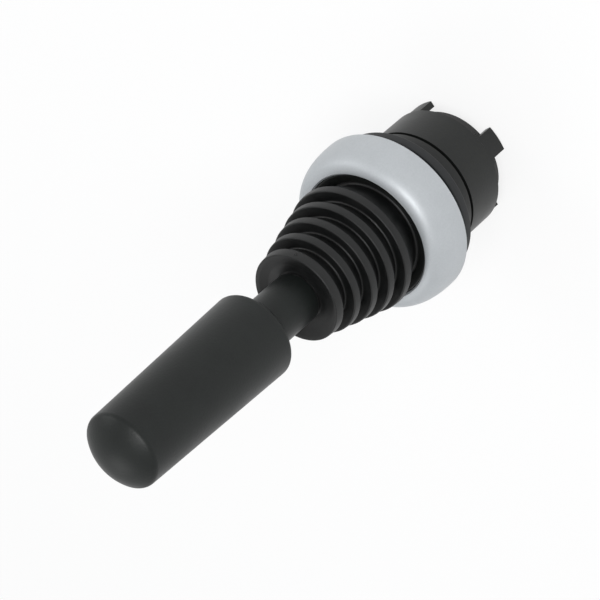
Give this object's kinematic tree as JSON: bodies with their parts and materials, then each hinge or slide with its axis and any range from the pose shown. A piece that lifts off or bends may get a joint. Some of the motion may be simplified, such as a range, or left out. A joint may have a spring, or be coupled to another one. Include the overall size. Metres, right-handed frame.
{
  "type": "industrial joystick",
  "caption": "Panel-mount two-axis joystick head with a tapered handle, ribbed rubber bellows, silver bezel ring and a barrel with bayonet tabs behind the panel.",
  "frame": {"origin": "centre of the gasket's rear face, which seats on the front of the panel, on the barrel's axis", "axes": "+Z along the upright lever towards the tip of the handle; +X along the gimbal ring's housing pins; +Y along the hub's cross pin"},
  "size_m": [0.0296, 0.0296, 0.0919],
  "materials": {
    "grip": "satin moulded thermoplastic",
    "rubber": "matt moulded rubber",
    "gasket": "matt rubber",
    "bezel": "satin silver",
    "housing": "satin moulded thermoplastic",
    "guide": "matt moulded thermoplastic",
    "plunger": "natural acetal",
    "steel": "turned",
    "spring": "drawn wire",
    "brass": "turned"
  },
  "bodies": {
    "root": {"front_housing": "housing", "rear_housing": "housing", "bezel_ring": "bezel", "clamp_ring": "housing", "panel_gasket": "gasket", "limit_plate": "steel", "gimbal_pins": "steel", "plunger_guide": "guide", "guide_screws": "steel", "bellows": "rubber", "plunger_spring_east": "spring", "plunger_spring_north": "spring", "plunger_spring_west": "spring", "plunger_spring_south": "spring"},
    "gimbal": {"gimbal_ring": "steel"},
    "lever": {"handle_grip": "grip", "grip_insert": "brass", "lever_shaft": "steel", "pivot_hub": "steel", "cross_pin": "steel", "rocker_plate": "steel", "lock_washer": "steel", "rocker_screw": "steel"},
    "plunger_east": {"plunger_east": "plunger"},
    "plunger_north": {"plunger_north": "plunger"},
    "plunger_west": {"plunger_west": "plunger"},
    "plunger_south": {"plunger_south": "plunger"}
  },
  "joints": [
    {"name": "tilt_x", "type": "hinge", "parent": "root", "child": "gimbal", "pos_m": [0, 0, 0.0031], "axis": [1, 0, 0], "range_deg": [-15, 15], "stiffness_Nm_per_rad": 1.1, "deforming": ["bellows"]},
    {"name": "tilt_y", "type": "hinge", "parent": "gimbal", "child": "lever", "pos_m": [0, 0, 0.0031], "axis": [0, 1, 0], "range_deg": [-15, 15], "stiffness_Nm_per_rad": 1.1, "deforming": ["bellows"]},
    {"name": "plunger_east_slide", "type": "slide", "parent": "root", "child": "plunger_east", "axis": [0, 0, 1], "range_m": [-0.00163, 0.00163], "deforming": ["plunger_spring_east"]},
    {"name": "plunger_north_slide", "type": "slide", "parent": "root", "child": "plunger_north", "axis": [0, 0, 1], "range_m": [-0.00163, 0.00163], "deforming": ["plunger_spring_north"]},
    {"name": "plunger_west_slide", "type": "slide", "parent": "root", "child": "plunger_west", "axis": [0, 0, 1], "range_m": [-0.00163, 0.00163], "deforming": ["plunger_spring_west"]},
    {"name": "plunger_south_slide", "type": "slide", "parent": "root", "child": "plunger_south", "axis": [0, 0, 1], "range_m": [-0.00163, 0.00163], "deforming": ["plunger_spring_south"]}
  ],
  "couplings": [
    {"joint": "plunger_east_slide", "follows": "tilt_y", "m_per_rad": -0.0062},
    {"joint": "plunger_west_slide", "follows": "tilt_y", "m_per_rad": 0.0062},
    {"joint": "plunger_north_slide", "follows": "tilt_x", "m_per_rad": 0.0062},
    {"joint": "plunger_south_slide", "follows": "tilt_x", "m_per_rad": -0.0062}
  ]
}
